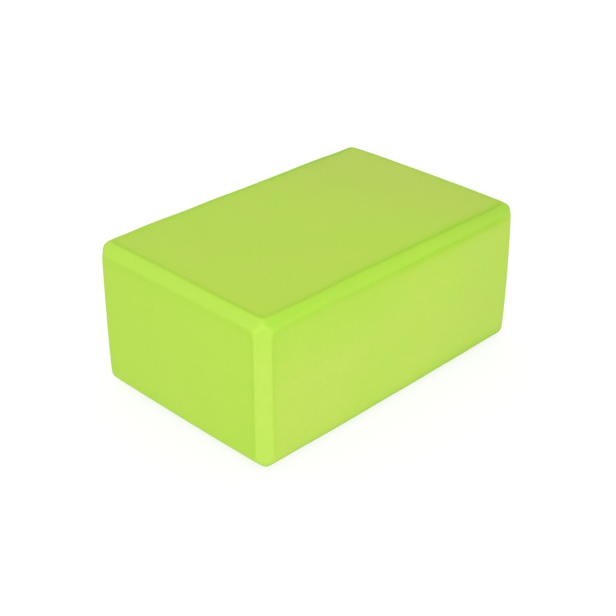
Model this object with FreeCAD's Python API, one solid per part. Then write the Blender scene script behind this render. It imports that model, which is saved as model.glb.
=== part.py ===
import FreeCAD, Part
import os

# Yoga block: one solid brick of closed-cell EVA foam, sawn from a thick moulded plank and bevelled
# along all twelve edges. It lies on its largest face. X runs along its length, Y across its width
# and Z up, and the origin is under the middle of the block, on the surface that it lies on.

# Overall size from face to opposite face.
LENGTH = 230.0
WIDTH = 150.0
HEIGHT = 100.0

# The 45-degree bevels along the four upright edges, the four long level ones and the four short
# level ones, each measured on either of the two faces it joins.
UPRIGHT_BEVEL = 7.2
LONG_BEVEL = 5.3
SHORT_BEVEL = 5.9

# Foam holds no sharp line. The ridges that run up to a corner between two bevels are worn round to
# the first radius, and the borders between a bevel and a face to the second.
CORNER_RADIUS = 3.2
ARRIS_RADIUS = 1.5

# A direction counts as square to an axis, or aslant to it, by this share of its length.
SQUARE_SHARE = 0.99
ASLANT_SHARE = 0.1


def bevelled_bar(across, over, along, bevel):
    """Bar whose section is the rectangle across by over with its corners cut off, as long as along.

    Each of the three spans is a vector from one face of the block to the opposite face, and the bar
    is centred on the origin.
    """
    cut_across = FreeCAD.Vector(across).normalize() * bevel
    cut_over = FreeCAD.Vector(over).normalize() * bevel
    corner = (across + over + along) / -2
    outline = [
        corner + cut_across,
        corner + across - cut_across,
        corner + across + cut_over,
        corner + across + over - cut_over,
        corner + across + over - cut_across,
        corner + over + cut_across,
        corner + over - cut_over,
        corner + cut_over,
    ]
    section = Part.Face(Part.makePolygon(outline + outline[:1]))
    return section.extrude(along)


def corner_ridges(block):
    """The edges where two bevels meet, three at each corner, the only ones aslant to all three axes."""
    ridges = []
    for edge in block.Edges:
        run = edge.tangentAt(edge.FirstParameter)
        if min(abs(part) for part in run) > ASLANT_SHARE:
            ridges.append(edge)
    return ridges


def face_borders(block):
    """The edges round the six flat faces that the block can rest on."""
    borders = []
    for face in block.Faces:
        outward = face.normalAt(0, 0)
        if isinstance(face.Surface, Part.Plane) and max(abs(part) for part in outward) > SQUARE_SHARE:
            borders += face.Edges
    return borders


def foam_block():
    """The block, standing on z = 0.

    It is what three bevelled bars, one along each axis, have in common. So the three bevels at a
    corner run on until they meet each other in one point, as cuts along straight edges do, and
    leave no flat facet there. The three ridges of each corner are rounded first, into one smooth
    knuckle, and then each face's whole border, which runs on round the four knuckles.
    """
    length = FreeCAD.Vector(LENGTH, 0, 0)
    width = FreeCAD.Vector(0, WIDTH, 0)
    height = FreeCAD.Vector(0, 0, HEIGHT)
    block = bevelled_bar(length, width, height, UPRIGHT_BEVEL)
    block = block.common(bevelled_bar(width, height, length, LONG_BEVEL))
    block = block.common(bevelled_bar(height, length, width, SHORT_BEVEL))
    block = block.removeSplitter()
    block = block.makeFillet(CORNER_RADIUS, corner_ridges(block))
    block = block.makeFillet(ARRIS_RADIUS, face_borders(block))
    block.translate(height / 2)
    return block


os.makedirs("parts", exist_ok=True)
block = foam_block()
box = block.BoundBox
print("foam_block", "solids", len(block.Solids), "faces", len(block.Faces), "valid", block.isValid())
print("size", box.XLength, box.YLength, box.ZLength, "volume", block.Volume)
block.exportStep("parts/foam_block.step")
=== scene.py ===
import math

import bpy
import numpy as np
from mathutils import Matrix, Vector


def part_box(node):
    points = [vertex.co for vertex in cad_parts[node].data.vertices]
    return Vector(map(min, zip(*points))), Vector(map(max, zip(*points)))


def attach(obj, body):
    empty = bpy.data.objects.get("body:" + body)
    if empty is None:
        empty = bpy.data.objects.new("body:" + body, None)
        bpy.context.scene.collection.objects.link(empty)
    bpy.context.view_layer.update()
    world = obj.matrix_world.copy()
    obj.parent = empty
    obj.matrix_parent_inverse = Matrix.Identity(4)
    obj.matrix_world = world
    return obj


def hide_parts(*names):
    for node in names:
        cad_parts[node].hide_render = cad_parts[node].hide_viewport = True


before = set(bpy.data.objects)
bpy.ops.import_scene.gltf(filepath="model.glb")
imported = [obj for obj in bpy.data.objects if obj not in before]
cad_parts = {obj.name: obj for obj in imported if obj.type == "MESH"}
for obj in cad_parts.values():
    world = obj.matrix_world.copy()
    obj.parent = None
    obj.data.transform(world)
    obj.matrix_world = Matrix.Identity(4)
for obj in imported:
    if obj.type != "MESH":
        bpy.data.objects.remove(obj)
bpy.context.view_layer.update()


# The foam block: one brick of lime-green closed-cell EVA foam, sawn from a thick moulded plank.
# A cutter has taken a 45-degree bevel off every edge. The foam is rounded where bevels meet, and
# beside each bevel the face dips into a crease, as a hot cutter leaves it.
block_low, block_high = (np.array(corner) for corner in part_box("foam_block"))
block_centre = (block_low + block_high) / 2
block_half = (block_high - block_low) / 2


def smooth_ramp(place, start, end):
    """Rises from 0 at the start to 1 at the end, level at both.

    It is three squares less two cubes of the share of the way from start to end.
    """
    share = np.clip((place - start) / (end - start), 0, 1)
    return share ** 2 * (3 - 2 * share)


# The surface starts as a plain brick, ruled with lines that lie close together in a zone along its
# edges and further apart in the middle of its faces.
fine_step = 0.00034
coarse_step = 0.0026
fine_zone = 0.030
ruling_samples = 6001


def ruled_lines(half):
    """Places from -half to half that lie closer together towards both ends.

    The wanted step grows from the fine step at an end to the coarse one by a smooth ramp. Equal
    amounts of the running sum of 1 / step give the places, an odd number with one in the middle.
    """
    along = np.linspace(-half, half, ruling_samples)
    step = fine_step + (coarse_step - fine_step) * smooth_ramp(half - np.abs(along), 0, fine_zone)
    middle = (1 / step[1:] + 1 / step[:-1]) / 2
    steps_so_far = np.concatenate([[0], np.cumsum(np.diff(along) * middle)])
    count = 2 * math.ceil(steps_so_far[-1] / 2)
    return np.interp(np.linspace(0, steps_so_far[-1], count + 1), steps_so_far, along)


def brick_grid(half):
    """Points and outward quads of a plain brick's six faces, each a grid of ruled lines.

    A face is a function of two parameters, the places along its two edges, and its quads run the
    other way round on the low side. Points that two faces share at an edge are exactly equal, so
    they are joined by picking out the distinct ones.
    """
    lines = [ruled_lines(h) for h in half]
    points, quads, start = [], [], 0
    for axis in range(3):
        first, second = (axis + 1) % 3, (axis + 2) % 3
        u, v = np.meshgrid(lines[first], lines[second], indexing="ij")
        for side in (-1, 1):
            grid = np.empty(u.shape + (3,))
            grid[..., axis] = side * half[axis]
            grid[..., first] = u
            grid[..., second] = v
            index = start + np.arange(u.size).reshape(u.shape)
            ring = [index[:-1, :-1], index[1:, :-1], index[1:, 1:], index[:-1, 1:]]
            quads.append(np.stack(ring[::side], axis=-1).reshape(-1, 4))
            points.append(grid.reshape(-1, 3))
            start += u.size
    points, quads = np.concatenate(points), np.concatenate(quads)
    distinct, which = np.unique(points, axis=0, return_inverse=True)
    return distinct, which.reshape(-1)[quads]


def soft_greatest(values, softness):
    """Smooth maximum along the last axis, softness times the log of the sum of exponentials.

    The second result is the share that each value has in it.
    """
    top = values.max(axis=-1, keepdims=True)
    weights = np.exp((values - top) / softness)
    total = weights.sum(axis=-1, keepdims=True)
    return (top + softness * np.log(total))[..., 0], weights / total


wave_gain = 1.6


def waves(points, lengths, seed):
    """Plane cosine waves of the given lengths in metres, in random directions, about -1 to 1.

    It is the mean of the cosines, times a gain that makes up for their cancelling out.
    """
    draw = np.random.default_rng(seed)
    directions = draw.normal(size=(len(lengths), 3))
    directions /= np.linalg.norm(directions, axis=1, keepdims=True)
    numbers = 2 * math.pi * directions / np.array(lengths)[:, None]
    phases = draw.uniform(0, 2 * math.pi, len(lengths))
    return np.cos(points @ numbers.T + phases).mean(axis=1) * wave_gain


# The bevels of one eighth of the block, always in this order: the upright edge's, the long level
# edge's and the short level edge's. A bevel's leg is what it takes off each of its two faces.
bevel_normals = math.sqrt(0.5) * np.array([[1, 1, 0], [0, 1, 1], [1, 0, 1]])
bevel_legs = np.array([0.0072, 0.0053, 0.0059])
bevel_offsets = bevel_normals @ block_half - bevel_legs * math.sqrt(0.5)
waver_depth = 0.00032
waver_lengths = (0.15, 0.10, 0.07, 0.05)
waver_seed = 3


def stand_off(points):
    """Distances of points outside the planes of the three faces and of the three bevels near them.

    Absolute coordinates fold the points into one eighth of the block. Slow waves deepen or lift the
    bevels a little from place to place, as a hand-held cutter does, and most at the top.
    """
    places = np.abs(points)
    upper = smooth_ramp(points[:, 2], -block_half[2], block_half[2])
    waver = waver_depth * upper * waves(points, waver_lengths, waver_seed)
    return places - block_half, places @ bevel_normals.T - bevel_offsets + waver[:, None]


# How softly the foam is rounded at the knuckles, where bevels meet, and at the borders of each bevel.
# The borders differ between the flat faces, which are the top and bottom, and the faces round the
# sides. The two rows of each table are for the left-hand and the right-hand end of the block, and
# the spread is how gradually one bevel's or face's softness passes into the next one's.
knuckle_softness = 0.0010
softness_by_flat = np.array([[0.00018, 0.00033, 0.00026], [0.00018, 0.00150, 0.00026]])
softness_by_side = np.array([[0.00018, 0.00085, 0.00045], [0.00018, 0.00130, 0.00045]])
softness_spread = 0.004


def cut_depth(points, arris_softness):
    """How far points stand out of the block, with each plane's share in that.

    The three bevels are joined by a wide smooth maximum, which rounds the knuckle at the corner,
    and the result is joined to the three faces by a narrow one, which softens the arrises. The
    shares are of the faces x, y, z and of the three bevels.
    """
    to_faces, to_bevels = stand_off(points)
    knuckle, bevel_shares = soft_greatest(to_bevels, knuckle_softness)
    depth, shares = soft_greatest(np.column_stack([to_faces, knuckle]), arris_softness)
    return depth, np.column_stack([shares[:, :3], shares[:, 3:] * bevel_shares])


def border_softness(points):
    """Softness of the nearest arris, by its bevel, its face and its place along the block.

    A smooth ramp leads from the left-hand end's row of each table to the right-hand end's, and the
    shares in smooth maxima say how near each face and each bevel is.
    """
    to_faces, to_bevels = stand_off(points)
    _, face_nearness = soft_greatest(to_faces, softness_spread)
    _, bevel_nearness = soft_greatest(to_bevels, softness_spread)
    flat_share = face_nearness[:, 2:]
    right_share = smooth_ramp(points[:, :1], -block_half[0], block_half[0])
    by_flat = softness_by_flat[0] + right_share * (softness_by_flat[1] - softness_by_flat[0])
    by_side = softness_by_side[0] + right_share * (softness_by_side[1] - softness_by_side[0])
    softness = flat_share * by_flat + (1 - flat_share) * by_side
    return (bevel_nearness * softness).sum(axis=1, keepdims=True)


# Points are carved towards a smaller brick inside the block, the core.
core_inset = 0.016
newton_steps = 24


def carve(points):
    """Moves a plain brick's surface points inwards to the bevelled block.

    Each point slides along the line from the nearest point of the core, and Newton steps find where
    the cut depth is zero on that line. The results are the points, their outward directions and the
    shares of the faces and bevels.
    """
    normals = np.vstack([np.eye(3), bevel_normals])
    core = np.clip(points, core_inset - block_half, block_half - core_inset)
    ray = points - core
    climb = np.abs(ray) @ normals.T
    arris_softness = border_softness(points)
    reach = np.ones(len(points))
    for _ in range(newton_steps):
        depth, shares = cut_depth(core + reach[:, None] * ray, arris_softness)
        reach -= depth / (shares * climb).sum(axis=-1)
    carved = core + reach[:, None] * ray
    _, shares = cut_depth(carved, arris_softness)
    outward = (shares @ normals) * np.sign(points)
    return carved, outward / np.linalg.norm(outward, axis=-1, keepdims=True), shares


# The creases, by face: each of the faces x, y and z has one beside each of its two bevels, given by
# how deep it dips, how wide its slope is, how much it grows towards the right-hand end of the block
# and towards the top, how strong the painted shade in it is, and how far that painted shade, a
# darker and more saturated green, reaches into the face. The turn is how roundly a crease goes
# round a corner, and the fade is how far in its dip has come back.
face_bevels = ((0, 2), (0, 1), (1, 2))
face_creases = np.array([
    [[0.00020, 0.0022, 0.00, 0.00, 0.35, 0.0016], [0.00008, 0.0034, 0.00, 0.50, 0.23, 0.0045]],
    [[0.00020, 0.0022, 0.00, 0.00, 0.35, 0.0016], [0.00020, 0.0034, 0.60, 0.50, 0.64, 0.0036]],
    [[0.00035, 0.0026, 0.45, 0.50, 0.80, 0.0020], [0.00018, 0.0024, 0.00, 0.50, 0.54, 0.0016]],
])
crease_turn = 0.0026
crease_fade = 0.042
reach_into_bevel = 0.0014
crease_unevenness = 0.1
crease_wave_lengths = (0.11, 0.075, 0.05, 0.034)
crease_seed = 5


def crease_form(points, shares):
    """How far the faces dip beside the bevels, and the painted shade of the creases, 0 to about 1.

    A smooth minimum of the distances from a face's two borders lets its crease turn the corner in a
    curve. Away from the border the dip falls by a short smooth ramp and comes back by a long one.
    The painted shade is one over one plus the square of the distance from the short ramp's middle,
    counted in reaches. Slow waves along the border change both.
    """
    to_faces, to_bevels = stand_off(points)
    x, _, z = (points / block_half).T
    uneven = 1 + crease_unevenness * (waves(points, crease_wave_lengths, crease_seed) - 1)
    dip, crease_shade = np.zeros(len(points)), np.zeros(len(points))
    for face, (bevels, rows) in enumerate(zip(face_bevels, face_creases)):
        past_borders = math.sqrt(2) * (to_bevels[:, bevels] - to_faces[:, [face]])
        past_nearest, nearness = soft_greatest(past_borders, crease_turn)
        from_border = -past_nearest
        depth, width, growth, rise, shade, reach = (nearness @ rows).T
        strength = (1 + growth * x) * (1 + rise * z) * uneven
        fall = smooth_ramp(from_border, 0, width) - smooth_ramp(from_border, 0, crease_fade)
        dip += shares[:, face] * depth * strength * fall
        off_middle = from_border - width / 2
        reaches = off_middle / np.where(off_middle > 0, reach, reach_into_bevel)
        by_border = shares[:, face] + (nearness * shares[:, 3:][:, bevels]).sum(axis=1)
        # Painted shade along the crease, darkest a little inside the border.
        crease_shade += by_border * shade * strength / (1 + reaches ** 2)
    return dip, crease_shade


# Colours of the foam, one for each kind of face and bevel, before blotches: the ends, the long
# sides and the top and bottom, then the upright, long and short bevels. Each is a slightly
# different green.
end_green = (0.331, 0.513, 0.040)
side_green = (0.369, 0.519, 0.0575)
flat_green = (0.352, 0.512, 0.042)
upright_bevel_green = (0.344, 0.505, 0.056)
long_bevel_green = (0.291, 0.513, 0.030)
short_bevel_green = (0.334, 0.530, 0.046)
foam_greens = np.array([end_green, side_green, flat_green,
                        upright_bevel_green, long_bevel_green, short_bevel_green])

# Near a flat face the level bevels' greens, half each, run over the knuckle in place of the upright
# bevel's. They set in at the first distance from the flat face and are whole at the second.
overrun_from_flat = (0.0050, 0.0020)
overrun_swap = np.array([0, 0, 0, -1, 0.5, 0.5])

# Tints that multiply the colours: painted shade in the creases, a painted highlight on ridges and
# borders, painted shade and sheen on the top and painted shade on the long sides and long bevels
# towards the right-hand end, and greener places on the long sides and upright bevels. The numbers
# after them say how strongly they apply, and how far from a corner the border highlight reaches.
crease_shade_tint = np.array([0.80, 0.955, 0.36])
highlight_tint = np.array([1.06, 1.055, 1.16])
top_sheen_shade_tint = np.array([1.0, 0.94, 1.25])
far_end_shade_tint = np.array([0.91, 0.94, 0.93])
greened_tint = np.array([0.91, 1.0, 0.76])
ridge_highlight = 0.35
border_highlight = 0.5
highlight_reach = 0.018
side_far_shade = 0.45
long_bevel_far_shade = 1.3
upright_bevel_greening = 0.6

# Where the last three tints set in and where they are whole, along the block or up it, in half sizes
# from its middle. The border of the painted shade and sheen on the top runs aslant across it.
top_sheen_along = (0.15, 0.75)
top_sheen_slant = 0.25
far_shade_along = (0.2, 0.8)
greened_along_side = (0.7, -0.7)
greened_up_side = (0.0, 0.6)
greened_up_bevel = (0.4, 0.8)


def foam_colours(points, shares, crease_shade):
    """The foam's colour at each point: the green of each face or bevel, times the tints that apply.

    A highlight is painted pale where an upright bevel and a level one, or near a corner a bevel
    and a face, have equal shares, so that four times their product is 1. Smooth ramps paint shade
    and sheen on the top towards the right-hand end, paint shade on the long sides and long bevels
    there, and green the long sides towards their upper left and the upright bevels towards their
    tops.
    """
    x, y, z = (points / block_half).T
    from_flat = block_half[2] - np.abs(points[:, 2])
    overrun = shares[:, 3] * smooth_ramp(from_flat, *overrun_from_flat)
    shares = shares + overrun[:, None] * overrun_swap
    face, upright, level = shares[:, :3].max(axis=1), shares[:, 3], shares[:, 4:].sum(axis=1)
    from_corner = np.linalg.norm(stand_off(points)[0], axis=1)
    # Painted highlight on ridges between upright and level bevels and on borders near corners.
    painted_highlight = ridge_highlight * (4 * upright * level) ** 2
    painted_highlight += border_highlight * 4 * face * (upright + level) * np.exp(-from_corner / highlight_reach)
    # Painted shade and sheen: the top greyer and darker towards the right-hand end.
    top_sheen_shade = shares[:, 2] * smooth_ramp(x + top_sheen_slant * y, *top_sheen_along)
    # Painted shade on the long sides and long bevels towards the right-hand end.
    far_end_shade = side_far_shade * shares[:, 1] + long_bevel_far_shade * shares[:, 4]
    far_end_shade *= smooth_ramp(x, *far_shade_along)
    greened = shares[:, 1] * smooth_ramp(z, *greened_up_side) * smooth_ramp(x, *greened_along_side)
    greened += upright_bevel_greening * upright * smooth_ramp(z, *greened_up_bevel)
    colours = shares @ foam_greens
    for mask, tint in ((crease_shade, crease_shade_tint), (painted_highlight, highlight_tint), (top_sheen_shade, top_sheen_shade_tint),
                       (far_end_shade, far_end_shade_tint), (greened, greened_tint)):
        colours = colours * (1 + mask[:, None] * (tint - 1))
    return colours


# Unevenness of the whole surface: a faint ripple, and faces that stand a little proud in the middle.
ripple_height = 0.00010
ripple_lengths = (0.09, 0.07, 0.06, 0.045, 0.038, 0.03)
ripple_seed = 11
bow_depth = 0.0008


def foam_block_mesh():
    """The finished surface: carved brick, then creases, a faint ripple, and a bow of the faces.

    The ripple lowers the surface by its height times one less the waves. For the bow, each
    coordinate shrinks by the bow depth, times its own share of the half size, times the mean of the
    squares of the other two coordinates' shares.
    """
    points, quads = brick_grid(block_half)
    points, outward, shares = carve(points)
    dip, crease_shade = crease_form(points, shares)
    colours = foam_colours(points, shares, crease_shade)
    ripple = waves(points, ripple_lengths, ripple_seed)
    points = points + outward * (ripple_height * (ripple - 1) - dip)[:, None]
    squares = (points / block_half) ** 2
    others = (squares.sum(axis=1, keepdims=True) - squares) / 2
    points = points * (1 - bow_depth / block_half * others)
    mesh = bpy.data.meshes.new("foam_block")
    mesh.from_pydata(points + block_centre, [], quads)
    mesh.polygons.foreach_set("use_smooth", np.ones(len(quads), bool))
    layer = mesh.attributes.new("foam_green", "FLOAT_COLOR", "POINT")
    layer.data.foreach_set("color", np.column_stack([colours, np.ones(len(points))]).ravel())
    mesh.update()
    return mesh


# The foam's finish: wide yellowed blotches, slanting greener streaks, small spots that differ in
# gloss, and cells cut open by the saw, with painted shade that makes their hollows a little darker
# than their walls.
blotches_per_metre = 24.0
blotch_detail = 3.0
blotch_tint = (1.03, 1.0, 1.12, 1)
streaks_per_metre = 30.0
streak_detail = 2.0
streak_turn = (0, 0.5, 0)
streak_stretch = (0.6, 1, 2.2)
streak_tint = (0.965, 1.0, 0.93, 1)
gloss_spots_per_metre = 900.0
gloss_spot_detail = 2.0
gloss_spot_roughness = (0.64, 0.74)
foam_ior = 1.45
foam_specular_level = 0.4
cells_per_metre = 1700.0
cell_shade = (0.965, 1.03)
cell_relief = 0.55
cell_depth = 0.0002

# Most of the values of a pattern lie between these two.
pattern_low = 0.3
pattern_high = 0.7


def lime_foam_material():
    """Matte EVA foam: lime right through, blotched and streaked a little, with a fine cell grain."""
    material = bpy.data.materials.new("lime_foam")
    material.use_nodes = True
    tree = material.node_tree
    nodes, links = tree.nodes, tree.links
    shader = nodes["Principled BSDF"]
    shader.inputs["IOR"].default_value = foam_ior
    shader.inputs["Specular IOR Level"].default_value = foam_specular_level

    place = nodes.new("ShaderNodeTexCoord").outputs["Object"]

    def noise(per_metre, detail, turn=(0, 0, 0), stretch=(1, 1, 1)):
        """Noise of that fineness, on a place that is turned and stretched first."""
        mapping = nodes.new("ShaderNodeMapping")
        mapping.inputs["Rotation"].default_value = turn
        mapping.inputs["Scale"].default_value = stretch
        links.new(place, mapping.inputs["Vector"])
        texture = nodes.new("ShaderNodeTexNoise")
        texture.inputs["Scale"].default_value = per_metre
        texture.inputs["Detail"].default_value = detail
        links.new(mapping.outputs["Vector"], texture.inputs["Vector"])
        return texture.outputs["Fac"]

    def spread(pattern, low=0.0, high=1.0):
        """The pattern's usual values, spread from low to high."""
        ramp = nodes.new("ShaderNodeMapRange")
        ramp.inputs["From Min"].default_value = pattern_low
        ramp.inputs["From Max"].default_value = pattern_high
        ramp.inputs["To Min"].default_value = low
        ramp.inputs["To Max"].default_value = high
        links.new(pattern, ramp.inputs["Value"])
        return ramp.outputs["Result"]

    def product(colour):
        """Node that multiplies the colour by its own input B, wholly unless Factor is linked."""
        mix = nodes.new("ShaderNodeMix")
        mix.data_type = "RGBA"
        mix.blend_type = "MULTIPLY"
        mix.inputs["Factor"].default_value = 1.0
        links.new(colour, mix.inputs["A"])
        return mix

    def tinted(colour, tint, share):
        """The colour, multiplied by the tint as far as the share goes."""
        mix = product(colour)
        mix.inputs["B"].default_value = tint
        links.new(share, mix.inputs["Factor"])
        return mix.outputs["Result"]

    greens = nodes.new("ShaderNodeAttribute")
    greens.attribute_name = "foam_green"
    blotches = noise(blotches_per_metre, blotch_detail)
    streaks = noise(streaks_per_metre, streak_detail, streak_turn, streak_stretch)
    colour = tinted(greens.outputs["Color"], blotch_tint, spread(blotches))
    colour = tinted(colour, streak_tint, spread(streaks))

    cells = nodes.new("ShaderNodeTexVoronoi")
    cells.inputs["Scale"].default_value = cells_per_metre
    links.new(place, cells.inputs["Vector"])
    # Painted shade darkens the hollows of the cells.
    shaded = product(colour)
    links.new(spread(cells.outputs["Distance"], *cell_shade), shaded.inputs["B"])
    links.new(shaded.outputs["Result"], shader.inputs["Base Color"])

    gloss_spots = noise(gloss_spots_per_metre, gloss_spot_detail)
    links.new(spread(gloss_spots, *gloss_spot_roughness), shader.inputs["Roughness"])

    bump = nodes.new("ShaderNodeBump")
    bump.inputs["Strength"].default_value = cell_relief
    bump.inputs["Distance"].default_value = cell_depth
    links.new(cells.outputs["Distance"], bump.inputs["Height"])
    links.new(bump.outputs["Normal"], shader.inputs["Normal"])
    return material


block = bpy.data.objects.new("yoga_block", foam_block_mesh())
bpy.context.collection.objects.link(block)
block.data.materials.append(lime_foam_material())
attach(block, "root")
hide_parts("foam_block")


# The floor: a wide seamless sheet of white paper, lit so brightly that it almost washes out.
# It only carries the block and throws light back up at its sides.
white = (1, 1, 1, 1)
paper_grey = (0.25, 0.25, 0.25, 1)
paper_glow = 0.72
floor_half = 6.0
floor_corners = np.array([[-1, -1, 0], [1, -1, 0], [1, 1, 0], [-1, 1, 0]]) * floor_half
floor_mesh = bpy.data.meshes.new("studio_floor")
floor_mesh.from_pydata(floor_corners, [], [[0, 1, 2, 3]])
floor = bpy.data.objects.new("studio_floor", floor_mesh)
bpy.context.collection.objects.link(floor)
floor_paper = bpy.data.materials.new("white_sweep")
floor_paper.use_nodes = True
floor_shader = floor_paper.node_tree.nodes["Principled BSDF"]
floor_shader.inputs["Base Color"].default_value = paper_grey
floor_shader.inputs["Roughness"].default_value = 1.0
floor_shader.inputs["Specular IOR Level"].default_value = 0.0
floor_shader.inputs["Emission Color"].default_value = white
floor_shader.inputs["Emission Strength"].default_value = paper_glow
floor_mesh.materials.append(floor_paper)


# The studio light: an even white surround, one large soft light close to the camera, and a weaker
# one low behind the block, so that its far sides don't look flat.
surround = bpy.data.worlds.new("white_surround")
surround.use_nodes = True
surround_shader = surround.node_tree.nodes["Background"]
surround_shader.inputs["Color"].default_value = white
surround_shader.inputs["Strength"].default_value = 1.0
bpy.context.scene.world = surround

view_azimuth = math.radians(-45.16)
key_elevation = math.radians(25)
back_azimuth = math.radians(158)
back_elevation = math.radians(8)
softbox_distance = 2.4


def towards(azimuth, elevation):
    """Unit vector from the block to a place at that azimuth and elevation, azimuth 0 being -Y."""
    level = math.cos(elevation)
    return np.array([math.sin(azimuth) * level, -math.cos(azimuth) * level, math.sin(elevation)])


def turned_to(azimuth, elevation):
    """Rotation of a light or camera that looks back from there at the block."""
    return (math.pi / 2 - elevation, 0, azimuth)


def softbox(name, azimuth, elevation, width, height, power):
    """Area light at that azimuth and elevation, turned to the block and unseen by the camera."""
    light = bpy.data.lights.new(name, "AREA")
    light.shape = "RECTANGLE"
    light.size, light.size_y = width, height
    light.energy = power
    box = bpy.data.objects.new(name, light)
    box.location = towards(azimuth, elevation) * softbox_distance + block_centre
    box.rotation_euler = turned_to(azimuth, elevation)
    box.visible_camera = False
    bpy.context.collection.objects.link(box)
    return box


softbox("key_softbox", view_azimuth, key_elevation, width=1.35, height=1.35, power=41.1)
back_softbox = softbox("back_softbox", back_azimuth, back_elevation, width=1.8, height=0.7, power=18.0)
back_softbox.visible_glossy = False


# The camera: at the photograph's viewing angle, with its distance and lens worked out from the
# way the block's edges draw together.
view_elevation = math.radians(29.14)
view_distance = 0.8453
aim = np.array([0.0088, 0.0132, 0.0280])
picture_width = 616
focal_pixels = 1273
camera_data = bpy.data.cameras.new("camera")
camera_data.lens = camera_data.sensor_width * focal_pixels / picture_width
camera = bpy.data.objects.new("camera", camera_data)
camera.location = aim + towards(view_azimuth, view_elevation) * view_distance
camera.rotation_euler = turned_to(view_azimuth, view_elevation)
bpy.context.collection.objects.link(camera)
bpy.context.scene.camera = camera
bpy.context.scene.view_settings.view_transform = "Standard"
